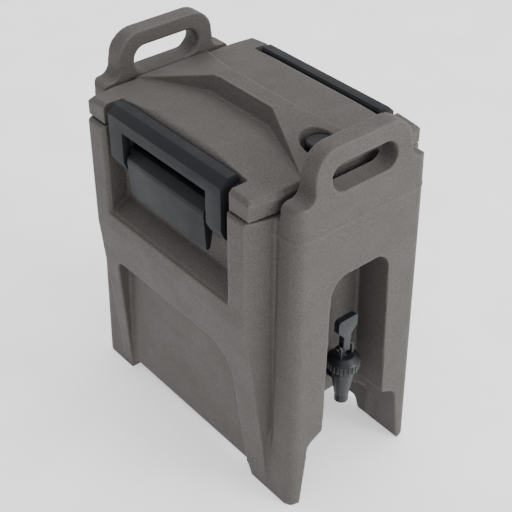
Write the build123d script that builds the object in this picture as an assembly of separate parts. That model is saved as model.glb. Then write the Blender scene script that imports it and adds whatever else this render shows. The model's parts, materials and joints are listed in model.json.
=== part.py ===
from build123d import *
import math
import os

# An insulated drinks carrier: moulded foam-filled body with a tank, clamped lid, two wide over-centre
# latches and a draw-off faucet in a front alcove. Millimetres, +Z up, faucet end faces -Y, latches on
# the two X sides, origin on the floor under the middle.

# ---- body, outer form
OVERALL_Z = 467.0
FOOT_HALF_X = 98.0
FOOT_HALF_Y = 189.0
SHOULDER_HALF_X = 92.5
SHOULDER_HALF_Y = 181.0
SHOULDER_Z = 414.0
CORNER_R = 13.0
RIM_Z = 393.5
POST_CHAMFER = 3.0
SKIN = 4.0
BLOCK_HALF_X = 125.5
BLOCK_HALF_Y = 138.0
BLOCK_END_X = 97.0
BLOCK_END_Y = 147.5
BLOCK_BASE_Z = 255.0
END_INNER_Y = 154.0
VALLEY_X = 91.0
VALLEY_LOW_Z = 30.0
VALLEY_FULL_Z = 120.0
WIDE = 200.0
SCREW_HOLE_R = 2.0

# ---- feet, skirts and underside
FOOT_EDGE_Z = 16.5
FRONT_FOOT_Y = -112.0
REAR_FOOT_Y = 125.0
END_FOOT_X = 52.0
SKIRT = 16.0
PAD = 9.0
ARCH_MID_Z = 93.0
ARCH_SIDE_Z = 43.0

# ---- faucet alcove
ALCOVE_HALF_X = 48.5
ALCOVE_TOP_HALF_X = 42.5
ALCOVE_TOP_Z = 309.0
ALCOVE_TOP_R = 24.0
ALCOVE_BACK_Y = -138.0
FLARE_HALF_X = 71.0
FLARE_Z = 86.0
FLARE_TOP_Z = 97.0

# ---- handles
HANDLE_TOP_Y = 176.0
HANDLE_HALF_X = 68.0
HANDLE_TOP_R = 29.0
HANDLE_HOLE_HALF_X = 45.0
HANDLE_HOLE_Z = 431.0
HANDLE_HOLE_R = 15.5
HOLE_FLARE = 3.0
SHOULDER_R = 9.0
RIB = 0.8
RIB_Z = 375.0

# ---- side panels and latch recess
RECESS_HALF_Y = 108.0
RECESS_X = 97.0
RECESS_SILL_Z = 276.0
RECESS_BACK_Z = 292.0
ARCH_TOP_Z = 202.0
ARCH_X = 94.5
ARCH_TOP_X = 101.5

# ---- tank
TANK_HALF_X = 71.0
TANK_HALF_Y = 124.0
TANK_FLOOR_Z = 118.0
TANK_WALL = 3.5
TANK_R = 28.0
FLANGE = 8.0
FLANGE_T = 3.0
TANK_FIT = 0.2

# ---- lid
LID_Z = 396.0
LID_HALF_X = 121.5
LID_HALF_Y = 141.0
LID_END_X = 88.0
LID_END_Y = 145.5
LID_CHAMFER = 5.0
LID_FOAM_X = 86.0
LID_FOAM_Y = 130.0
LID_PANEL_Z = 426.0
LID_TOE_Z = 417.5
LID_GROOVE_HALF_Y = 110.0
LID_GROOVE_X = 97.0
RIDGE_Z = 445.5
RIDGE_HALF_X = 12.0
RIDGE_HALF_Y = 50.0
RIDGE_END_X = 53.0
RIDGE_BEVEL = 5.5
RIDGE_RIB_R = 1.5
PLUG_DEPTH = 22.0
PLUG_GAP = 1.5
BEAD_X = 104.5
BEAD_Z = 404.5
BEAD_R = 7.0
VENT_Y = -112.0
VENT_R = 17.0
VENT_DISH_R = 25.0
VENT_FLOOR_Z = 419.0
VENT_HOLE_R = 6.0
VENT_SEAT_R = 8.5

# ---- latches
PIVOT_X = 108.0
PIVOT_Z = 374.0
CRANK = 18.0
CRANK_TILT = 13.0
LEVER_HALF_Y = 68.5
LUG_IN_Y = 69.3
LUG_OUT_Y = 73.2
LEG_IN_Y = 74.0
LEG_OUT_Y = 99.0
PIN_R = 2.5
RUNNING_GAP = 0.05
HOOK_GAP = 2.0
BAR_TOP_Z = 424.5
BAIL_X = 123.0
BASE_X = 100.0
SCREW_Y = 52.0
SCREW_Z = 346.0

# ---- faucet
FAUCET_Y = -166.0
SHANK_Z = 136.0
SHANK_R = 8.0
SHANK_HOLE_R = 8.3
SLEEVE_R = 10.3
SPOUT_Z = 103.0
BARREL_R = 14.0
BONNET_R = 19.5
BONNET_Z = 156.0
BONNET_TOP_Z = 170.0
HANDLE_PIN_Z = 184.0
TEE_TOP_Z = 228.0
TEE_HALF_X = 14.5
TEE_BAR = 16.0
STEM_HALF_X = 5.5

CRANK_X = PIVOT_X + CRANK * math.sin(math.radians(CRANK_TILT))
CRANK_Z = PIVOT_Z - CRANK * math.cos(math.radians(CRANK_TILT))


# ---- drawing helpers
def polygon(*points):
    """Flat face from corner points."""
    return make_face(Polyline(*points, close=True))


def rounded(points, radii):
    """Flat face from corner points, each corner with its own radius."""
    return make_face(FilletPolyline(*points, radius=radii, close=True))


def prism_z(face, low, high):
    """A face drawn in X and Y, swept from one height to another."""
    return extrude(Pos(0, 0, low) * face, amount=high - low)


def prism_y(face, low, high):
    """A face drawn in X and Z, swept along Y."""
    start = Plane(origin=(0, high, 0), x_dir=(1, 0, 0), z_dir=(0, -1, 0))
    return extrude(start * face, amount=high - low)


def prism_x(face, low, high):
    """A face drawn in Y and Z, swept along X."""
    start = Plane(origin=(low, 0, 0), x_dir=(0, 1, 0), z_dir=(1, 0, 0))
    return extrude(start * face, amount=high - low)


def block(x_low, x_high, y_low, y_high, z_low, z_high):
    """A box from its six faces."""
    size = Box(x_high - x_low, y_high - y_low, z_high - z_low)
    middle = ((x_low + x_high) / 2, (y_low + y_high) / 2, (z_low + z_high) / 2)
    return Pos(*middle) * size


def rod_z(x, y, radius, low, high):
    """An upright cylinder."""
    return Pos(x, y, (low + high) / 2) * Cylinder(radius, high - low)


def rod_y(x, z, radius, low, high):
    """A cylinder along Y."""
    return Pos(x, (low + high) / 2, z) * Rot(90, 0, 0) * Cylinder(radius, high - low)


def rod_x(y, z, radius, low, high):
    """A cylinder along X."""
    return Pos((low + high) / 2, y, z) * Rot(0, 90, 0) * Cylinder(radius, high - low)


def mirrored(face):
    """A half outline joined with its mirror image across the middle."""
    return face + mirror(face, Plane.YZ)


def both_ends(shape):
    """A shape and its mirror image at the other end."""
    return shape + mirror(shape, Plane.XZ)


def both_sides(shape):
    """A shape and its mirror image on the other long side."""
    return shape + mirror(shape, Plane.YZ)


# ---- body
def oblique_plan(half_x, half_y, end_x, end_y):
    """Rectangle in plan with oblique corners."""
    front = [(-half_x, -half_y), (-end_x, -end_y)]
    front = front + [(-x, y) for x, y in reversed(front)]
    rear = [(-x, -y) for x, y in front]
    return polygon(*(front + rear))


def column(inset):
    """Tapered rounded column from the floor to the shoulder, smaller all round by the inset."""
    radius = CORNER_R - inset
    foot = RectangleRounded(2 * (FOOT_HALF_X - inset), 2 * (FOOT_HALF_Y - inset), radius)
    shoulder = RectangleRounded(2 * (SHOULDER_HALF_X - inset), 2 * (SHOULDER_HALF_Y - inset), radius)
    return loft([foot, Pos(0, 0, SHOULDER_Z) * shoulder])


def end_sections():
    """The two ends of the body, cut down between them to the height of the mouth."""
    top = SHOULDER_Z - 13
    mouth_cut = block(-WIDE, WIDE, -END_INNER_Y, END_INNER_Y, RIM_Z, SHOULDER_Z + 1)
    ends = column(0) - mouth_cut - block(-WIDE, WIDE, -WIDE, WIDE, top, SHOULDER_Z + 1)
    return ends - both_sides(both_ends(valley()))


def valley():
    """Groove between the wide block and the end section, fading out towards the floor."""
    plan = polygon(
        (BLOCK_END_X + 5, BLOCK_END_Y - 0.5),
        (BLOCK_END_X - 1, BLOCK_END_Y - 0.5),
        (VALLEY_X, END_INNER_Y - 4),
        (VALLEY_X, END_INNER_Y - 2),
        (BLOCK_END_X + 5, END_INNER_Y + 1),
    )
    fade = polygon(
        (VALLEY_X - 1, VALLEY_FULL_Z),
        (BLOCK_END_X + 6, VALLEY_LOW_Z),
        (BLOCK_END_X + 6, SHOULDER_Z),
        (VALLEY_X - 1, SHOULDER_Z),
    )
    return prism_z(plan, 0, SHOULDER_Z) & prism_y(fade, BLOCK_HALF_Y, FOOT_HALF_Y)


def middle_block():
    """Wide block between the ends, tapering in towards the floor."""
    side = [
        (0, 0),
        (FOOT_HALF_X - 1, 0),
        (BLOCK_HALF_X, BLOCK_BASE_Z),
        (BLOCK_HALF_X, RIM_Z - POST_CHAMFER),
        (BLOCK_HALF_X - POST_CHAMFER, RIM_Z),
        (0, RIM_Z),
    ]
    plan = oblique_plan(BLOCK_HALF_X, BLOCK_HALF_Y, BLOCK_END_X, BLOCK_END_Y)
    return prism_y(mirrored(polygon(*side)), -150, 150) & prism_z(plan, 0, RIM_Z)


def handle():
    """Front shoulder and handle: an upright plate, flush with the end face, with a rounded hole."""
    low = SHOULDER_Z - 14
    step = SHOULDER_HALF_X - HANDLE_HALF_X
    half = [
        (SHOULDER_HALF_X, low),
        (SHOULDER_HALF_X, SHOULDER_Z),
        (HANDLE_HALF_X + 1, SHOULDER_Z + 1),
        (HANDLE_HALF_X - 3, OVERALL_Z),
    ]
    outline = half + [(-x, z) for x, z in reversed(half)]
    radii = [0.5, SHOULDER_R, step / 2, HANDLE_TOP_R]
    plate = prism_y(rounded(outline, radii + radii[::-1]), -SHOULDER_HALF_Y, -END_INNER_Y)
    plan = RectangleRounded(2 * SHOULDER_HALF_X, 2 * SHOULDER_HALF_Y, CORNER_R)
    plate = plate & prism_z(plan, low, OVERALL_Z + 1)
    lean = polygon(
        (-SHOULDER_HALF_Y - 5, SHOULDER_Z),
        (-SHOULDER_HALF_Y, SHOULDER_Z),
        (-HANDLE_TOP_Y, OVERALL_Z),
        (-HANDLE_TOP_Y, OVERALL_Z + 1),
        (-SHOULDER_HALF_Y - 5, OVERALL_Z + 1),
    )
    slot = SlotOverall(2 * HANDLE_HOLE_HALF_X, 2 * HANDLE_HOLE_R)
    grip = prism_y(Pos(0, HANDLE_HOLE_Z) * slot, -SHOULDER_HALF_Y - 2, -END_INNER_Y + 2)
    plate = plate - prism_x(lean, -100, 100) - grip
    hole_y = (SHOULDER_HALF_Y + HANDLE_TOP_Y) / 2
    for face_y, way in ((-hole_y - 0.5, 1), (-END_INNER_Y, -1)):
        plate = plate - hole_flare(face_y, way)
    return plate


def hole_flare(face_y, way):
    """Flared mouth of the hand hole at one face of the handle."""
    slot = SlotOverall(2 * HANDLE_HOLE_HALF_X, 2 * HANDLE_HOLE_R)
    wide = SlotOverall(2 * (HANDLE_HOLE_HALF_X + HOLE_FLARE), 2 * (HANDLE_HOLE_R + HOLE_FLARE))
    middle = (0, face_y + way * HOLE_FLARE, HANDLE_HOLE_Z)
    deep = Plane(origin=middle, x_dir=(1, 0, 0), z_dir=(0, -1, 0))
    mouth_plane = Plane(origin=(0, face_y, HANDLE_HOLE_Z), x_dir=(1, 0, 0), z_dir=(0, -1, 0))
    return loft([deep * slot, mouth_plane * wide])


def parting_rib():
    """Fine raised line round both ends."""
    band = column(-RIB) & block(-WIDE, WIDE, -WIDE, WIDE, RIB_Z - 1.5, RIB_Z + 1.5)
    return band - block(-WIDE, WIDE, -BLOCK_END_Y - 1, BLOCK_END_Y + 1, RIB_Z - 5, RIB_Z + 5)


def latch_recess():
    """Cavity in the +X side that the latch sits in, open to the side and to the lid."""
    section = polygon(
        (RECESS_X, RECESS_BACK_Z),
        (BLOCK_HALF_X + 0.5, RECESS_SILL_Z - 0.3),
        (BLOCK_HALF_X + 5, RECESS_SILL_Z - 0.3),
        (BLOCK_HALF_X + 5, RIM_Z + 1),
        (RECESS_X, RIM_Z + 1),
    )
    cavity = prism_y(section, -RECESS_HALF_Y, RECESS_HALF_Y)
    lip = 4.0
    chamfers = polygon(
        (BLOCK_HALF_X - lip, -RECESS_HALF_Y),
        (BLOCK_HALF_X + 1, -RECESS_HALF_Y - lip - 1),
        (BLOCK_HALF_X + 1, RECESS_HALF_Y + lip + 1),
        (BLOCK_HALF_X - lip, RECESS_HALF_Y),
    )
    return cavity + prism_z(chamfers, RECESS_SILL_Z, RIM_Z + 1)


def arch_panel():
    """Arched panel sunk into the +X side below the latch, nearly upright."""
    outline = [(132, -5), (112, ARCH_TOP_Z), (-103, ARCH_TOP_Z), (-112, -5)]
    face = rounded(outline, [1, 14, 42, 1])
    drop = polygon((ARCH_X, -5), (ARCH_TOP_X, ARCH_TOP_Z + 5), (150, ARCH_TOP_Z + 5), (150, -5))
    return prism_x(face, 60, 140) & prism_y(drop, -WIDE, WIDE)


def alcove():
    """Front alcove for the faucet, flaring out towards the floor."""
    half = [
        (FOOT_HALF_X - SKIRT, -5),
        (FLARE_HALF_X, FLARE_Z),
        (ALCOVE_HALF_X, FLARE_TOP_Z),
        (ALCOVE_TOP_HALF_X, ALCOVE_TOP_Z),
    ]
    outline = half + [(-x, z) for x, z in reversed(half)]
    radii = [1, 14, 4, ALCOVE_TOP_R]
    return prism_y(rounded(outline, radii + radii[::-1]), -WIDE, ALCOVE_BACK_Y)


def underside():
    """Arched hollow under the tank, between the skirts."""
    half = FOOT_HALF_X - SKIRT
    walls = Polyline((half, ARCH_SIDE_Z), (half, -5), (-half, -5), (-half, ARCH_SIDE_Z))
    crown = ThreePointArc((-half, ARCH_SIDE_Z), (0, ARCH_MID_Z), (half, ARCH_SIDE_Z))
    return prism_y(make_face(walls + crown), ALCOVE_BACK_Y - 1, FOOT_HALF_Y - SKIRT)


def leg_pads():
    """Thicker bands inside the front legs."""
    low = FOOT_HALF_X - SKIRT - PAD
    pad = block(low, FOOT_HALF_X - 6, ALCOVE_BACK_Y - 14, ALCOVE_BACK_Y + 4, FOOT_EDGE_Z - 3, FLARE_Z)
    pad = chamfer(pad.faces().sort_by(Axis.X)[0].edges().filter_by(Axis.Z), PAD - 2)
    return both_sides(pad)


def foot_gaps():
    """Gaps under the skirts that leave four feet."""
    side = [
        (FRONT_FOOT_Y - 8, -5),
        (REAR_FOOT_Y + 8, -5),
        (REAR_FOOT_Y, FOOT_EDGE_Z),
        (FRONT_FOOT_Y, FOOT_EDGE_Z),
    ]
    through = prism_x(rounded(side, [1, 1, 7, 7]), -150, 150)
    rear = [(-END_FOOT_X - 8, -5), (END_FOOT_X + 8, -5), (END_FOOT_X, FOOT_EDGE_Z), (-END_FOOT_X, FOOT_EDGE_Z)]
    return through + prism_y(rounded(rear, [1, 1, 7, 7]), 150, 220)


def wall_space():
    """Space between the outer skin and the tank, with lobes in the ends and posts."""
    top = RIM_Z - FLANGE_T - SKIN
    back = ALCOVE_BACK_Y + SKIN
    half = FOOT_HALF_X
    rear = block(-half, half, back, WIDE, ARCH_MID_Z + SKIN, top)
    over_alcove = block(-half, half, -WIDE, back + 1, ALCOVE_TOP_Z + SKIN, top)
    pillar = block(ALCOVE_HALF_X + SKIN, half, -WIDE, back + 1, FLARE_TOP_Z + 5, ALCOVE_TOP_Z + 10)
    post_x = BLOCK_HALF_X - 9
    post_y = RECESS_HALF_Y + 5
    post = block(80, post_x, post_y, BLOCK_HALF_Y - 8, BLOCK_BASE_Z + 5, top)
    ends = column(SKIN) & (rear + over_alcove + both_sides(pillar))
    behind_valley = block(VALLEY_X - SKIN, post_x, BLOCK_END_Y - SKIN - 1, END_INNER_Y + 6, 0, top + 1)
    return ends - both_sides(both_ends(behind_valley)) + both_sides(both_ends(post))


def mouth():
    """Opening of the body that the tank drops into, with a step for its flange."""
    seat = prism_z(tank_plan(TANK_WALL + FLANGE + TANK_FIT), RIM_Z - FLANGE_T, RIM_Z + 5)
    return seat + prism_z(tank_plan(TANK_WALL + TANK_FIT), RIM_Z - FLANGE_T - SKIN - 1, RIM_Z)


def tank_plan(grow):
    """Rounded plan of the tank, grown outwards from the drink space."""
    return RectangleRounded(2 * (TANK_HALF_X + grow), 2 * (TANK_HALF_Y + grow), TANK_R + grow)


def tank_outer():
    """Outside of the tank with its flange, from the floor of the tank to the rim."""
    cup = prism_z(tank_plan(TANK_WALL), TANK_FLOOR_Z - TANK_WALL, RIM_Z)
    cup = fillet(cup.faces().sort_by(Axis.Z)[0].edges(), 5 + TANK_WALL)
    return cup + prism_z(tank_plan(TANK_WALL + FLANGE), RIM_Z - FLANGE_T, RIM_Z)


def tank_inner():
    """The drink space."""
    cup = prism_z(tank_plan(0), TANK_FLOOR_Z, RIM_Z + 1)
    return fillet(cup.faces().sort_by(Axis.Z)[0].edges(), 5)


def latch_screw_points():
    """Y and height of each latch screw."""
    return [(y, SCREW_Z) for y in (-SCREW_Y, 0, SCREW_Y)]


def latch_screw_holes():
    """Blind holes in both side walls for the latch screws."""
    low = RECESS_X - 12
    holes = [rod_x(y, z, SCREW_HOLE_R, low, RECESS_X + 1) for y, z in latch_screw_points()]
    return both_sides(holes[0] + holes[1] + holes[2])


def body_shell():
    """One moulding: outer skin, skirts, feet and both handles."""
    outer = end_sections() + middle_block() + both_ends(handle()) + parting_rib()
    outer = outer - both_sides(latch_recess()) - both_sides(arch_panel())
    outer = outer - alcove() - underside() - foot_gaps() + leg_pads()
    shell = outer - wall_space() - mouth()
    shell = shell - rod_y(0, SHANK_Z, SHANK_HOLE_R, ALCOVE_BACK_Y - 5, ALCOVE_BACK_Y + SKIN + 1)
    return shell - latch_screw_holes()


def body_foam():
    """Rigid foam that fills the space round the tank."""
    foam = wall_space() - tank_outer()
    foam = foam - rod_y(0, SHANK_Z, SLEEVE_R, ALCOVE_BACK_Y, -TANK_HALF_Y + 10)
    return foam - latch_screw_holes()


def tank_liner():
    """The tank, a deep open cup with a flat rim."""
    hole = rod_y(0, SHANK_Z, SHANK_HOLE_R, -TANK_HALF_Y - 6, -TANK_HALF_Y + 10)
    return tank_outer() - tank_inner() - hole


# ---- lid
def ridge():
    """Raised hip that runs from end to end of the lid, highest in the middle."""
    waist_x = RIDGE_HALF_X + RIDGE_BEVEL
    crest = [Vector(RIDGE_HALF_X, RIDGE_HALF_Y, RIDGE_Z), Vector(-RIDGE_HALF_X, RIDGE_HALF_Y, RIDGE_Z)]
    waist = [Vector(waist_x, RIDGE_HALF_Y, LID_PANEL_Z), Vector(-waist_x, RIDGE_HALF_Y, LID_PANEL_Z)]
    toe = [Vector(RIDGE_END_X, LID_END_Y, LID_TOE_Z), Vector(-RIDGE_END_X, LID_END_Y, LID_TOE_Z)]
    crest = crest + [Vector(-p.X, -p.Y, p.Z) for p in crest]
    waist = waist + [Vector(-p.X, -p.Y, p.Z) for p in waist]
    toe = toe + [Vector(-p.X, -p.Y, p.Z) for p in toe]
    facets = [crest, [toe[0], toe[1], crest[1], crest[0]], [toe[2], toe[3], crest[3], crest[2]]]
    facets += [[toe[i], waist[i], crest[i]] for i in range(4)]
    facets += [[waist[3], waist[0], crest[0], crest[3]], [waist[1], waist[2], crest[2], crest[1]]]
    rim = [toe[0], toe[1], waist[1], waist[2], toe[2], toe[3], waist[3], waist[0]]
    low = [Vector(p.X, p.Y, LID_Z + 2) for p in rim]
    facets += [[rim[i - 1], rim[i], low[i], low[i - 1]] for i in range(len(rim))]
    facets.append(low)
    faces = [Face(Wire.make_polygon(corners, close=True)) for corners in facets]
    return Solid(Shell(faces))


def ridge_rib():
    """Rounded rib along the -X edge of the crest."""
    length = 2 * RIDGE_HALF_Y - 12
    rib = rod_y(-RIDGE_HALF_X + 1, RIDGE_Z, RIDGE_RIB_R, -RIDGE_HALF_Y + 3, -RIDGE_HALF_Y + 3 + length)
    return rib - block(-WIDE, WIDE, -WIDE, WIDE, RIDGE_Z - 5, RIDGE_Z - 1)


def lid_outer():
    """Outside form of the lid, with the latch grooves and beads."""
    plan = oblique_plan(LID_HALF_X, LID_HALF_Y, LID_END_X, LID_END_Y)
    slope = polygon(
        (-LID_END_Y, LID_Z),
        (LID_END_Y, LID_Z),
        (LID_END_Y, LID_TOE_Z),
        (RIDGE_HALF_Y, LID_PANEL_Z),
        (-RIDGE_HALF_Y, LID_PANEL_Z),
        (-LID_END_Y, LID_TOE_Z),
    )
    slab = prism_z(plan, LID_Z, LID_PANEL_Z) & prism_x(slope, -LID_HALF_X, LID_HALF_X)
    rim = [edge for edge in slab.edges() if edge.center().Z > LID_TOE_Z - 1]
    rim = [edge for edge in rim if abs(abs(edge.center().Y) - RIDGE_HALF_Y) > 1]
    slab = chamfer(rim, LID_CHAMFER)
    slab = slab + ridge() + ridge_rib() - both_sides(lid_groove())
    return slab + both_sides(tongue())


def lid_groove():
    """Rolled groove along the +X side where the latch bar lies."""
    roll = 9.0
    start = LID_GROOVE_X - roll
    top = LID_PANEL_Z + 0.01
    section = Polyline(
        (LID_GROOVE_X, top - roll),
        (LID_GROOVE_X, LID_Z - 1),
        (BLOCK_HALF_X + 5, LID_Z - 1),
        (BLOCK_HALF_X + 5, top + 5),
        (start, top + 5),
        (start, top),
    )
    lean = math.sqrt(0.5) * roll
    arc = ThreePointArc((start, top), (start + lean, top - roll + lean), (LID_GROOVE_X, top - roll))
    return prism_y(make_face(section + arc), -LID_GROOVE_HALF_Y, LID_GROOVE_HALF_Y)


def tongue():
    """Rounded bead on the +X side that the latch bar hooks over."""
    web = block(RECESS_X - 12, BEAD_X, -LID_GROOVE_HALF_Y, LID_GROOVE_HALF_Y, LID_Z, BEAD_Z + BEAD_R - 2)
    bead = rod_y(BEAD_X, BEAD_Z, BEAD_R - 0.5, -LID_GROOVE_HALF_Y, LID_GROOVE_HALF_Y)
    return web + bead


def lid_space():
    """Space inside the lid for the foam."""
    low = LID_TOE_Z - LID_CHAMFER
    slab = block(-LID_FOAM_X, LID_FOAM_X, -LID_FOAM_Y, LID_FOAM_Y, LID_Z + SKIN, low)
    slab = slab + block(-LID_FOAM_X, LID_FOAM_X, -RIDGE_HALF_Y, RIDGE_HALF_Y, low - 1, LID_PANEL_Z - SKIN)
    crest = RIDGE_HALF_X - 2
    rise = block(-crest, crest, -RIDGE_HALF_Y, RIDGE_HALF_Y, LID_PANEL_Z - 8, RIDGE_Z - SKIN)
    return slab + rise - rod_z(0, VENT_Y, VENT_DISH_R + SKIN, LID_Z - 1, RIDGE_Z)


def plug_plan(inset):
    """Plan of the part of the lid that goes into the tank mouth."""
    return tank_plan(-PLUG_GAP - inset)


def gasket_ring(low, high, inner, outer):
    """Rounded rectangular ring round the tank mouth."""
    return prism_z(tank_plan(outer), low, high) - prism_z(tank_plan(inner), low - 1, high + 1)


def vent_dish():
    """Round dish sunk into the lid for the vent cap."""
    cone = Pos(0, VENT_Y, VENT_FLOOR_Z) * extrude(Circle(VENT_R + 2), amount=30, taper=-18)
    return cone & block(-60, 60, VENT_Y - 60, VENT_Y + 60, VENT_FLOOR_Z, RIDGE_Z + 10)


def lid_shell():
    """Top moulding of the lid."""
    shell = lid_outer() - vent_dish() - lid_space()
    shell = shell - prism_z(plug_plan(-0.2), LID_Z - 1, LID_Z + SKIN + 1)
    shell = shell - gasket_ring(LID_Z - 1, LID_Z + 2, 2, 8)
    return shell - rod_z(0, VENT_Y, VENT_SEAT_R, LID_Z - 2, RIDGE_Z)


def lid_foam():
    """Foam inside the lid."""
    top = lid_space()
    low = prism_z(plug_plan(SKIN), LID_Z - PLUG_DEPTH + SKIN, LID_Z + SKIN)
    return (top + low) - rod_z(0, VENT_Y, VENT_SEAT_R, LID_Z - PLUG_DEPTH, RIDGE_Z)


def lid_liner():
    """Underside pan of the lid, a shallow plug that enters the tank mouth."""
    pan = prism_z(plug_plan(0), LID_Z - PLUG_DEPTH, LID_Z + SKIN)
    pan = fillet(pan.faces().sort_by(Axis.Z)[0].edges(), 5)
    pan = pan - prism_z(plug_plan(SKIN), LID_Z - PLUG_DEPTH + SKIN, LID_Z + SKIN + 1)
    return pan - rod_z(0, VENT_Y, VENT_SEAT_R, LID_Z - PLUG_DEPTH - 1, RIDGE_Z)


def lid_gasket():
    """Rubber ring between the lid and the rim."""
    return gasket_ring(RIM_Z, LID_Z + 2, 2, 8)


def vent_seat():
    """Tube through the lid that the vent cap turns in."""
    outer = rod_z(0, VENT_Y, VENT_SEAT_R, LID_Z - PLUG_DEPTH, VENT_FLOOR_Z)
    return outer - rod_z(0, VENT_Y, VENT_HOLE_R, LID_Z - PLUG_DEPTH - 1, RIDGE_Z)


def vent_cap():
    """Ribbed round cap with a hollow plug under it."""
    low = VENT_FLOOR_Z + 0.5
    top = low + 12.5
    cap = rod_z(0, VENT_Y, VENT_R, low, top)
    cap = chamfer(cap.faces().sort_by(Axis.Z)[-1].edges(), 2)
    ribs = 28
    for turn in range(ribs):
        angle = math.radians(360 / ribs * turn)
        x = VENT_R * math.cos(angle)
        y = VENT_Y + VENT_R * math.sin(angle)
        cap = cap - rod_z(x, y, 0.7, low + 1, top + 1)
    cap = cap - rod_z(0, VENT_Y, VENT_R - 3, top - 1, top + 1)
    stem = rod_z(0, VENT_Y, VENT_HOLE_R - 0.4, LID_Z - PLUG_DEPTH + 4, low + 0.5)
    return cap + stem - rod_z(0, VENT_Y, VENT_HOLE_R - 2.5, LID_Z - PLUG_DEPTH, low - 2)


def vent_gasket():
    """Ring under the vent cap."""
    low = VENT_FLOOR_Z
    ring = rod_z(0, VENT_Y, VENT_R - 2, low, low + 0.5)
    return ring - rod_z(0, VENT_Y, VENT_HOLE_R + 0.2, low - 1, low + 2)


# ---- latch on the +X side; the -X latch is its mirror image
def latch_base():
    """Back plate with two lugs that hold the lever pin."""
    plate = block(RECESS_X, BASE_X, -LUG_OUT_Y, LUG_OUT_Y, 330, 384)
    lug = prism_y(
        rounded(
            [(RECESS_X, PIVOT_Z - 8.5), (PIVOT_X + 6.3, PIVOT_Z - 6), (PIVOT_X + 6.3, PIVOT_Z + 6),
             (RECESS_X, PIVOT_Z + 8.5)],
            [0.5, 5, 5, 0.5],
        ),
        LUG_IN_Y,
        LUG_OUT_Y,
    )
    base = plate + both_ends(lug)
    base = base - rod_y(PIVOT_X, PIVOT_Z, PIN_R, -80, 80)
    for y, z in latch_screw_points():
        base = base - rod_x(y, z, 2.2, RECESS_X - 1, BASE_X + 1)
    return base


def lever_pin():
    """Steel pin through the lugs and the lever."""
    return rod_y(PIVOT_X, PIVOT_Z, PIN_R, -LUG_OUT_Y, LUG_OUT_Y)


def latch_screws():
    """Screws that hold the latch base to the body."""
    screws = []
    for y, z in latch_screw_points():
        head = rod_x(y, z, 3.6, BASE_X, BASE_X + 1.8)
        screws.append(head + rod_x(y, z, SCREW_HOLE_R, RECESS_X - 10, BASE_X))
    return Compound(children=screws)


def latch_lever():
    """Wide lever, thick at the pivot and thin at its free edge."""
    section = rounded(
        [
            (PIVOT_X - 3, PIVOT_Z + 5),
            (PIVOT_X + 3, PIVOT_Z + 5),
            (PIVOT_X + 13, PIVOT_Z - 3),
            (PIVOT_X + 14, PIVOT_Z - 8),
            (PIVOT_X + 11, 322),
            (PIVOT_X + 8, 320),
            (PIVOT_X + 5.5, 323),
            (PIVOT_X + 1, 348),
            (PIVOT_X - 5.5, PIVOT_Z - 6),
        ],
        [2, 2, 3, 2, 1.5, 1, 1, 4, 3],
    )
    lever = prism_y(section, -LEVER_HALF_Y, LEVER_HALF_Y)
    lever = lever - rod_y(PIVOT_X, PIVOT_Z, PIN_R + RUNNING_GAP, -80, 80)
    for low in (-LEVER_HALF_Y - 1, LEVER_HALF_Y - 12):
        lever = lever - rod_y(CRANK_X, CRANK_Z, PIN_R, low, low + 13)
    return lever


def bail_pins():
    """Two short pins that join the bail to the lever."""
    pin = rod_y(CRANK_X, CRANK_Z, PIN_R, LEVER_HALF_Y - 12, LEG_OUT_Y - 8)
    return Compound(children=[pin, mirror(pin, Plane.XZ)])


def bail_bar_section():
    """Section of the hooked bar: front face, sloped facet, top facet, hollow round the bead."""
    reach = BEAD_R + HOOK_GAP
    tip = math.radians(100)
    heel = math.radians(-15)
    middle = math.radians(45)
    start = (BEAD_X + reach * math.cos(heel), BEAD_Z + reach * math.sin(heel))
    half_way = (BEAD_X + reach * math.cos(middle), BEAD_Z + reach * math.sin(middle))
    end = (BEAD_X + reach * math.cos(tip), BEAD_Z + reach * math.sin(tip))
    outline = Polyline(
        end,
        (99.5, end[1] + 1.2),
        (99.5, BAR_TOP_Z - 3),
        (101.5, BAR_TOP_Z),
        (113.5, BAR_TOP_Z),
        (BAIL_X, BAR_TOP_Z - 9),
        (BAIL_X, 401),
        (117, 399.5),
        start,
    )
    return make_face(outline + ThreePointArc(start, half_way, end))


def latch_bail():
    """Wide hooked frame: bar over the lid bead and two legs down to the lever."""
    bar = prism_y(bail_bar_section(), -LEG_OUT_Y, LEG_OUT_Y)
    leg_section = rounded(
        [
            (BAIL_X, 404),
            (BAIL_X, CRANK_Z + 6),
            (117, CRANK_Z - 7),
            (CRANK_X - 4, CRANK_Z - 7),
            (CRANK_X - 6.5, CRANK_Z),
            (CRANK_X - 2, CRANK_Z + 14),
            (115.5, 404),
        ],
        [0.5, 3, 3, 4, 4, 5, 0.5],
    )
    leg = prism_y(leg_section, LEG_IN_Y, LEG_OUT_Y)
    bail = bar + both_ends(leg)
    hole = rod_y(CRANK_X, CRANK_Z, PIN_R + RUNNING_GAP, LEG_IN_Y - 1, LEG_OUT_Y - 8)
    return bail - both_ends(hole)


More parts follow.
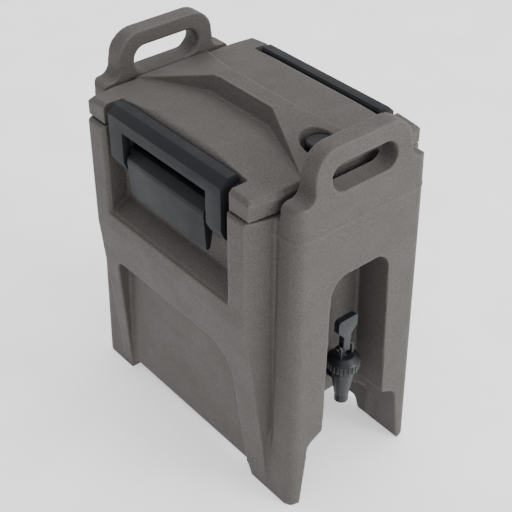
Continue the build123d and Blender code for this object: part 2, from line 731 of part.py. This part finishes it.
# ---- faucet
def faucet_body():
    """Barrel with a spout below, and a threaded shank through the wall."""
    barrel = rod_z(0, FAUCET_Y, BARREL_R, 148, BONNET_Z)
    cone = Pos(0, FAUCET_Y, 131) * Cone(9.0, BARREL_R, 34)
    spout = rod_z(0, FAUCET_Y, 8.3, SPOUT_Z, 125)
    shank = rod_y(0, SHANK_Z, SHANK_R, FAUCET_Y, -TANK_HALF_Y + 8)
    collar = rod_y(0, SHANK_Z, 14, ALCOVE_BACK_Y - 5, ALCOVE_BACK_Y - 2)
    body = barrel + cone + spout + shank + collar
    body = body - rod_z(0, FAUCET_Y, 9, 134, BONNET_Z + 1)
    body = body - rod_z(0, FAUCET_Y, 5.5, SPOUT_Z - 1, 135)
    return body - rod_y(0, SHANK_Z + 2, 5, FAUCET_Y, -TANK_HALF_Y + 9)


def faucet_bonnet():
    """Serrated cap nut with two ears for the handle pin."""
    cap = rod_z(0, FAUCET_Y, BONNET_R, BONNET_Z, BONNET_TOP_Z - 3)
    crown = Pos(0, FAUCET_Y, BONNET_TOP_Z) * Cone(BONNET_R, 12, 6)
    teeth = 24
    for tooth in range(teeth):
        angle = math.radians(360 / teeth * tooth)
        x = BONNET_R * math.cos(angle)
        y = FAUCET_Y + BONNET_R * math.sin(angle)
        cap = cap - rod_z(x, y, 1.2, BONNET_Z - 1, BONNET_TOP_Z)
    ear = block(7, 10, FAUCET_Y - 5, FAUCET_Y + 5, BONNET_TOP_Z - 2, HANDLE_PIN_Z)
    ear = ear + rod_x(FAUCET_Y, HANDLE_PIN_Z, 5, 7, 10)
    bonnet = cap + crown + both_sides(ear)
    bonnet = bonnet - rod_z(0, FAUCET_Y, 9, BONNET_Z - 1, BONNET_Z + 6)
    bonnet = bonnet - rod_z(0, FAUCET_Y, 3.05, BONNET_Z, BONNET_TOP_Z + 5)
    return bonnet - rod_x(FAUCET_Y, HANDLE_PIN_Z, 1.5, -20, 20)


def handle_pin():
    """Pin through the ears and the handle."""
    return rod_x(FAUCET_Y, HANDLE_PIN_Z, 1.5, -11, 11)


def faucet_handle():
    """T-shaped handle that tips forward to open the faucet."""
    half = [
        (STEM_HALF_X, HANDLE_PIN_Z - 5),
        (STEM_HALF_X, TEE_TOP_Z - TEE_BAR - 9),
        (TEE_HALF_X, TEE_TOP_Z - TEE_BAR),
        (TEE_HALF_X, TEE_TOP_Z),
    ]
    outline = half + [(-x, z) for x, z in reversed(half)]
    plate = prism_y(rounded(outline, [2, 8, 3, 4, 4, 3, 8, 2]), FAUCET_Y - 3.8, FAUCET_Y + 3.8)
    return plate - rod_x(FAUCET_Y, HANDLE_PIN_Z, 1.55, -20, 20)


def faucet_stem():
    """Lift rod from the handle down to the seat cup."""
    return rod_z(0, FAUCET_Y, 3.0, 139, HANDLE_PIN_Z - 10.5)


def seat_cup():
    """Rubber cup on the stem that closes the outlet."""
    cup = rod_z(0, FAUCET_Y, 7.5, 134, 141)
    return cup - rod_z(0, FAUCET_Y, 3.0, 139, 142)


def faucet_spring():
    """Return spring between the seat cup and the bonnet, as a closed sleeve."""
    sleeve = rod_z(0, FAUCET_Y, 6.0, 141, BONNET_Z + 6)
    return sleeve - rod_z(0, FAUCET_Y, 4.2, 140, BONNET_Z + 7)


def ring_y(outer, inner, low, high, z):
    """A washer along Y."""
    return rod_y(0, z, outer, low, high) - rod_y(0, z, inner, low - 1, high + 1)


def faucet_gasket():
    """Outside washer between collar and wall."""
    return ring_y(13, SHANK_R, ALCOVE_BACK_Y - 2, ALCOVE_BACK_Y, SHANK_Z)


def inner_washer():
    """Washer inside the tank."""
    return ring_y(13, SHANK_R, -TANK_HALF_Y, -TANK_HALF_Y + 1.5, SHANK_Z)


def faucet_nut():
    """Hexagonal nut inside the tank."""
    face = RegularPolygon(14, 6)
    nut = prism_y(Pos(0, SHANK_Z) * face, -TANK_HALF_Y + 1.5, -TANK_HALF_Y + 7.5)
    return nut - rod_y(0, SHANK_Z, SHANK_R, -TANK_HALF_Y, -TANK_HALF_Y + 9)


def outlet_sleeve():
    """Tube through the foam round the shank."""
    low = ALCOVE_BACK_Y + SKIN
    high = -TANK_HALF_Y - TANK_WALL
    return ring_y(SLEEVE_R, SHANK_HOLE_R, low, high, SHANK_Z)


def parts():
    """Every node of the carrier with its solid."""
    made = {
        "body_shell": body_shell(),
        "body_foam": body_foam(),
        "tank_liner": tank_liner(),
        "lid_shell": lid_shell(),
        "lid_foam": lid_foam(),
        "lid_liner": lid_liner(),
        "lid_gasket": lid_gasket(),
        "vent_seat": vent_seat(),
        "vent_cap": vent_cap(),
        "vent_gasket": vent_gasket(),
        "faucet_body": faucet_body(),
        "faucet_bonnet": faucet_bonnet(),
        "faucet_handle": faucet_handle(),
        "handle_pin": handle_pin(),
        "faucet_stem": faucet_stem(),
        "seat_cup": seat_cup(),
        "faucet_spring": faucet_spring(),
        "faucet_gasket": faucet_gasket(),
        "inner_washer": inner_washer(),
        "faucet_nut": faucet_nut(),
        "outlet_sleeve": outlet_sleeve(),
    }
    latch = {
        "latch_base": latch_base(),
        "latch_lever": latch_lever(),
        "latch_bail": latch_bail(),
        "lever_pin": lever_pin(),
        "bail_pins": bail_pins(),
        "latch_screws": latch_screws(),
    }
    for name, shape in latch.items():
        made["right_" + name] = shape
        made["left_" + name] = mirror(shape, Plane.YZ)
    return made


os.makedirs("parts", exist_ok=True)
for name, shape in parts().items():
    export_step(shape, "parts/" + name + ".step")
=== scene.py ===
import json
import math

import bmesh
import bpy
from mathutils import Matrix, Vector


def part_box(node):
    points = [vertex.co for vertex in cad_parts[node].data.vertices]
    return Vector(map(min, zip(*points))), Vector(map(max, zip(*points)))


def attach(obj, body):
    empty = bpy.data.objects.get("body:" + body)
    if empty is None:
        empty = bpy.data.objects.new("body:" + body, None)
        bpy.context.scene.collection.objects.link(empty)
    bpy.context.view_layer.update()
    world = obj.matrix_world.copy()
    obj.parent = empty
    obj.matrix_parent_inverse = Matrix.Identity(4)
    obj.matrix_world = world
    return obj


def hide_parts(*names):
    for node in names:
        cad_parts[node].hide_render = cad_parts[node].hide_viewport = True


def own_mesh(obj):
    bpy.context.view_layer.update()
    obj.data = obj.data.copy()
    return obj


MM = 0.001
JOIN_DISTANCE = 0.01 * MM
MOTTLE_SCALE = 9.0
SHEEN_SCALE = 35.0
# How much lighter convex edges are painted: partly wear, partly a painted highlight
WEAR_AND_HIGHLIGHT_LIGHTER = 1.9
COIL_STEPS = 28
COIL_SIDES = 10

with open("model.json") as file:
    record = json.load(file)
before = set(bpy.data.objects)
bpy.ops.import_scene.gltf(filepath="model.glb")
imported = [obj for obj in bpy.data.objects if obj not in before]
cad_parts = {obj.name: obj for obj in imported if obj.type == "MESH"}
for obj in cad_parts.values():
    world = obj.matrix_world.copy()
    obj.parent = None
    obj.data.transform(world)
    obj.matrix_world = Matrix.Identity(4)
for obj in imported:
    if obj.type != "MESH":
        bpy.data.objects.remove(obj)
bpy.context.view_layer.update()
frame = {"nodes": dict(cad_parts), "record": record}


# ---- material helpers
def new_material(name):
    """An empty node material and its shader node."""
    material = bpy.data.materials.new(name)
    material.use_nodes = True
    nodes = material.node_tree.nodes
    shader = nodes["Principled BSDF"]
    return material, nodes, material.node_tree.links, shader


def noise(nodes, links, scale, detail=2.0, roughness=0.5):
    """Noise in the object's own metres."""
    place = nodes.new("ShaderNodeTexCoord")
    texture = nodes.new("ShaderNodeTexNoise")
    texture.inputs["Scale"].default_value = scale
    texture.inputs["Detail"].default_value = detail
    texture.inputs["Roughness"].default_value = roughness
    links.new(place.outputs["Object"], texture.inputs["Vector"])
    return texture.outputs["Fac"]


def ramp(nodes, links, value, stops):
    """Colours along a value from 0 to 1."""
    node = nodes.new("ShaderNodeValToRGB")
    elements = node.color_ramp.elements
    while len(elements) < len(stops):
        elements.new(0.5)
    for element, (place, colour) in zip(elements, stops):
        element.position = place
        element.color = (*colour, 1.0)
    links.new(value, node.inputs["Fac"])
    return node.outputs["Color"]


def scaled(colour, factor):
    """A colour made lighter or darker."""
    return tuple(min(1.0, channel * factor) for channel in colour)


def blend(nodes, links, kind, factor, first, second):
    """Two colours mixed, factor a number or a socket."""
    node = nodes.new("ShaderNodeMix")
    node.data_type = "RGBA"
    node.blend_type = kind
    if isinstance(factor, float):
        node.inputs["Factor"].default_value = factor
    else:
        links.new(factor, node.inputs["Factor"])
    for socket, value in ((node.inputs["A"], first), (node.inputs["B"], second)):
        if isinstance(value, tuple):
            socket.default_value = (*value, 1.0)
        else:
            links.new(value, socket)
    return node.outputs["Result"]


def grained(name, colour, speckle, grain, rough, peel, wear_and_highlight=0.0, ior=1.5):
    """Moulded plastic: speckle, slow mottling, convex edges lightened as wear and painted highlight;
    peel is the grain's strength and depth.
    """
    material, nodes, links, shader = new_material(name)
    fine = ramp(
        nodes,
        links,
        noise(nodes, links, grain, 3.0, 0.65),
        [(0.36, scaled(colour, 1 - speckle)), (0.5, colour), (0.64, scaled(colour, 1 + speckle))],
    )
    mottle = noise(nodes, links, MOTTLE_SCALE)
    slow = ramp(nodes, links, mottle, [(0.35, (0.93,) * 3), (0.65, (1.0,) * 3)])
    tone = blend(nodes, links, "MULTIPLY", 1.0, fine, slow)
    if wear_and_highlight:
        # Convex edges painted lighter: partly edge wear, partly a painted highlight
        shape = nodes.new("ShaderNodeNewGeometry")
        edge = ramp(nodes, links, shape.outputs["Pointiness"], [(0.505, (0,) * 3), (0.56, (wear_and_highlight,) * 3)])
        tone = blend(nodes, links, "MIX", edge, tone, scaled(colour, WEAR_AND_HIGHLIGHT_LIGHTER))
    links.new(tone, shader.inputs["Base Color"])
    gloss = ramp(
        nodes,
        links,
        noise(nodes, links, SHEEN_SCALE),
        [(0.3, (rough - 0.05,) * 3), (0.7, (min(1.0, rough + 0.05),) * 3)],
    )
    links.new(gloss, shader.inputs["Roughness"])
    surface = nodes.new("ShaderNodeBump")
    surface.inputs["Strength"].default_value = peel[0]
    surface.inputs["Distance"].default_value = peel[1]
    links.new(noise(nodes, links, grain * 0.8, 2.0), surface.inputs["Height"])
    links.new(surface.outputs["Normal"], shader.inputs["Normal"])
    shader.inputs["IOR"].default_value = ior
    return material


def brushed(name, colour):
    """Drawn stainless steel."""
    material, nodes, links, shader = new_material(name)
    place = nodes.new("ShaderNodeTexCoord")
    squeeze = nodes.new("ShaderNodeMapping")
    squeeze.inputs["Scale"].default_value = (1.0, 0.04, 1.0)
    links.new(place.outputs["Object"], squeeze.inputs["Vector"])
    lines = nodes.new("ShaderNodeTexNoise")
    lines.inputs["Scale"].default_value = 2500.0
    links.new(squeeze.outputs["Vector"], lines.inputs["Vector"])
    gloss = ramp(nodes, links, lines.outputs["Fac"], [(0.3, (0.22,) * 3), (0.7, (0.38,) * 3)])
    links.new(gloss, shader.inputs["Roughness"])
    tone = ramp(nodes, links, lines.outputs["Fac"], [(0.3, scaled(colour, 0.9)), (0.7, colour)])
    links.new(tone, shader.inputs["Base Color"])
    shader.inputs["Metallic"].default_value = 1.0
    return material


LOOKS = {
    "shell_plastic": grained(
        "shell_look", (0.069, 0.0618, 0.0582), 0.34, 800.0, 0.66, (0.5, 0.0007), wear_and_highlight=0.45, ior=1.42
    ),
    "liner_plastic": grained("liner_look", (0.22, 0.21, 0.20), 0.05, 500.0, 0.42, (0.1, 0.0003)),
    "foam": grained("foam_look", (0.72, 0.62, 0.38), 0.12, 700.0, 0.9, (0.5, 0.0008)),
    "seal_rubber": grained("seal_look", (0.5, 0.49, 0.46), 0.04, 400.0, 0.55, (0.1, 0.0003)),
    "latch_nylon": grained(
        "latch_look", (0.010, 0.0112, 0.0142), 0.14, 900.0, 0.55, (0.2, 0.0003), wear_and_highlight=0.12, ior=1.28
    ),
    "black_plastic": grained(
        "black_look", (0.006, 0.0062, 0.007), 0.10, 900.0, 0.5, (0.15, 0.0003), wear_and_highlight=0.06, ior=1.3
    ),
    "faucet_plastic": grained(
        "faucet_look", (0.011, 0.0125, 0.016), 0.10, 800.0, 0.34, (0.12, 0.0003), wear_and_highlight=0.10, ior=1.38
    ),
    "steel": brushed("steel_look", (0.62, 0.61, 0.59)),
}
SLOT_OF = {row["node"]: row["material_slot"] for row in frame["record"]["subparts"]}


# ---- mesh helpers
def paint(piece, material):
    """One material on every face."""
    piece.data.materials.clear()
    piece.data.materials.append(material)


def welded_copy(node, name):
    """A new object with the node's mesh, its split corners joined."""
    mesh = frame["nodes"][node].data.copy()
    work = bmesh.new()
    work.from_mesh(mesh)
    bmesh.ops.remove_doubles(work, verts=work.verts, dist=JOIN_DISTANCE)
    work.to_mesh(mesh)
    work.free()
    piece = bpy.data.objects.new(name, mesh)
    bpy.context.scene.collection.objects.link(piece)
    return piece


def settle(piece):
    """Modifiers turned into plain mesh, shaded smooth."""
    graph = bpy.context.evaluated_depsgraph_get()
    mesh = bpy.data.meshes.new_from_object(piece.evaluated_get(graph))
    piece.modifiers.clear()
    piece.data = mesh
    mesh.shade_smooth()


def softened(node, name, body, voxel, rounds):
    """The node's form with the soft rolled edges of a moulding."""
    piece = welded_copy(node, name)
    skin = piece.modifiers.new("skin", "REMESH")
    skin.mode = "VOXEL"
    skin.voxel_size = voxel
    ease = piece.modifiers.new("ease", "SMOOTH")
    ease.factor = 0.5
    ease.iterations = rounds
    settle(piece)
    paint(piece, LOOKS[SLOT_OF[node]])
    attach(piece, body)
    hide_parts(node)


def bevelled(node, width, segments=2):
    """Small rounded edges on a node that is shown as it is."""
    piece = frame["nodes"][node]
    join = piece.modifiers.new("join", "WELD")
    join.merge_threshold = JOIN_DISTANCE
    edge = piece.modifiers.new("edge", "BEVEL")
    edge.width = width
    edge.segments = segments
    edge.limit_method = "ANGLE"
    edge.angle_limit = math.radians(28)
    piece.data.shade_smooth()


def coil(node, name, body, turns, wire):
    """A wound wire spring in place of the node's plain sleeve."""
    low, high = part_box(node)
    middle_x = (low[0] + high[0]) / 2
    middle_y = (low[1] + high[1]) / 2
    radius = (high[0] - low[0]) / 2 - wire
    rise = high[2] - low[2] - 2 * wire
    around = COIL_SIDES
    steps = turns * COIL_STEPS
    points = []
    for step in range(steps + 1):
        share = step / steps
        angle = share * turns * 2 * math.pi
        height = low[2] + wire + rise * share
        for side in range(around):
            lean = side / around * 2 * math.pi
            reach = radius + wire * math.cos(lean)
            x = middle_x + reach * math.cos(angle)
            y = middle_y + reach * math.sin(angle)
            points.append((x, y, height + wire * math.sin(lean)))
    faces = [tuple(reversed(range(around))), tuple(steps * around + k for k in range(around))]
    for step in range(steps):
        start = step * around
        for k in range(around):
            after = (k + 1) % around
            faces.append((start + k, start + after, start + around + after, start + around + k))
    mesh = bpy.data.meshes.new(name)
    mesh.from_pydata(points, [], faces)
    mesh.shade_smooth()
    piece = bpy.data.objects.new(name, mesh)
    bpy.context.scene.collection.objects.link(piece)
    paint(piece, LOOKS[SLOT_OF[node]])
    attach(piece, body)
    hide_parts(node)
    return piece, high[2] - low[2]


# ---- every CAD node gets its finish
for node, piece in frame["nodes"].items():
    paint(piece, LOOKS[SLOT_OF[node]])

# ---- mouldings with soft edges
body_detail = (1.5 * MM, 4)
lid_detail = (1.0 * MM, 2)
softened("body_shell", "body_skin", "body", *body_detail)
softened("lid_shell", "lid_skin", "lid", *lid_detail)

# ---- latches and fittings keep their CAD form, with eased edges
for side in ("right", "left"):
    bevelled(f"{side}_latch_lever", 0.8 * MM)
    bevelled(f"{side}_latch_bail", 1.0 * MM, 3)
    bevelled(f"{side}_latch_base", 0.6 * MM)
bevelled("faucet_handle", 0.8 * MM, 3)
bevelled("vent_cap", 0.4 * MM)
bevelled("faucet_bonnet", 0.35 * MM)

# ---- the return spring as a wound coil
spring, spring_length = coil("faucet_spring", "spring_coil", "body", 6, 0.8 * MM)
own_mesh(spring)

# ---- floor
FLOOR_HALF = 6.0
FLOOR_Z = -0.5 * MM
FLOOR_GLOW = 0.6
floor_mesh = bpy.data.meshes.new("floor")
corners = [(x * FLOOR_HALF, y * FLOOR_HALF, FLOOR_Z) for x, y in ((-1, -1), (1, -1), (1, 1), (-1, 1))]
floor_mesh.from_pydata(corners, [], [(0, 1, 2, 3)])
floor = bpy.data.objects.new("floor", floor_mesh)
bpy.context.scene.collection.objects.link(floor)
floor_look = grained("floor_look", (0.9, 0.9, 0.9), 0.01, 40.0, 0.7, (0.02, 0.0002))
floor_shader = floor_look.node_tree.nodes["Principled BSDF"]
floor_shader.inputs["Emission Color"].default_value = (1.0, 1.0, 1.0, 1.0)
floor_shader.inputs["Emission Strength"].default_value = FLOOR_GLOW
paint(floor, floor_look)


# ---- light
def soft_light(name, place, aim, size, power):
    """A square soft box aimed at a point."""
    lamp = bpy.data.lights.new(name, "AREA")
    lamp.energy = power
    lamp.size = size
    holder = bpy.data.objects.new(name, lamp)
    holder.location = place
    holder.rotation_euler = (Vector(aim) - Vector(place)).to_track_quat("-Z", "Y").to_euler()
    bpy.context.scene.collection.objects.link(holder)


def graded(tree, value, start, end, dim, bright):
    """A brightness that rises from dim to bright while the value goes from start to end."""
    node = tree.nodes.new("ShaderNodeMapRange")
    node.inputs["From Min"].default_value = start
    node.inputs["From Max"].default_value = end
    node.inputs["To Min"].default_value = dim
    node.inputs["To Max"].default_value = bright
    tree.links.new(value, node.inputs["Value"])
    return node.outputs["Result"]


def studio():
    """A white room, dimmer towards -X and brighter overhead."""
    world = bpy.data.worlds.new("studio")
    world.use_nodes = True
    tree = world.node_tree
    background = tree.nodes["Background"]
    background.inputs["Color"].default_value = (1.0, 1.0, 1.0, 1.0)
    toward = tree.nodes.new("ShaderNodeTexCoord")
    part_of = tree.nodes.new("ShaderNodeSeparateXYZ")
    tree.links.new(toward.outputs["Generated"], part_of.inputs["Vector"])
    both = tree.nodes.new("ShaderNodeMath")
    both.operation = "MULTIPLY"
    tree.links.new(graded(tree, part_of.outputs["X"], -0.9, 0.2, 0.75, 1.5), both.inputs[0])
    tree.links.new(graded(tree, part_of.outputs["Z"], 0.0, 0.9, 0.75, 1.25), both.inputs[1])
    tree.links.new(both.outputs["Value"], background.inputs["Strength"])
    bpy.context.scene.world = world


studio()
AIM = (0.0, 0.0, 0.22)
soft_light("key", (1.0, -2.2, 1.5), AIM, 1.0, 42.0)


# ---- camera
AZIMUTH = math.radians(-40.4)
ELEVATION = math.radians(36.9)
ROLL = math.radians(0.35)
VIEW_POINT = Vector((-0.687, -0.819, 1.021))
NUDGE = 1.27 * MM
back = Vector(
    (
        math.sin(AZIMUTH) * math.cos(ELEVATION),
        -math.cos(AZIMUTH) * math.cos(ELEVATION),
        math.sin(ELEVATION),
    )
)
level = Vector((math.cos(AZIMUTH), math.sin(AZIMUTH), 0.0))
upright = back.cross(level)
right = level * math.cos(ROLL) + upright * math.sin(ROLL)
up = upright * math.cos(ROLL) - level * math.sin(ROLL)
turn = Matrix((right, up, back)).transposed().to_4x4()
turn.translation = VIEW_POINT - right * NUDGE - up * NUDGE
lens = bpy.data.cameras.new("camera")
lens.sensor_width = 36.0
lens.lens = 77.7
camera = bpy.data.objects.new("camera", lens)
camera.matrix_world = turn
bpy.context.scene.collection.objects.link(camera)
bpy.context.scene.camera = camera
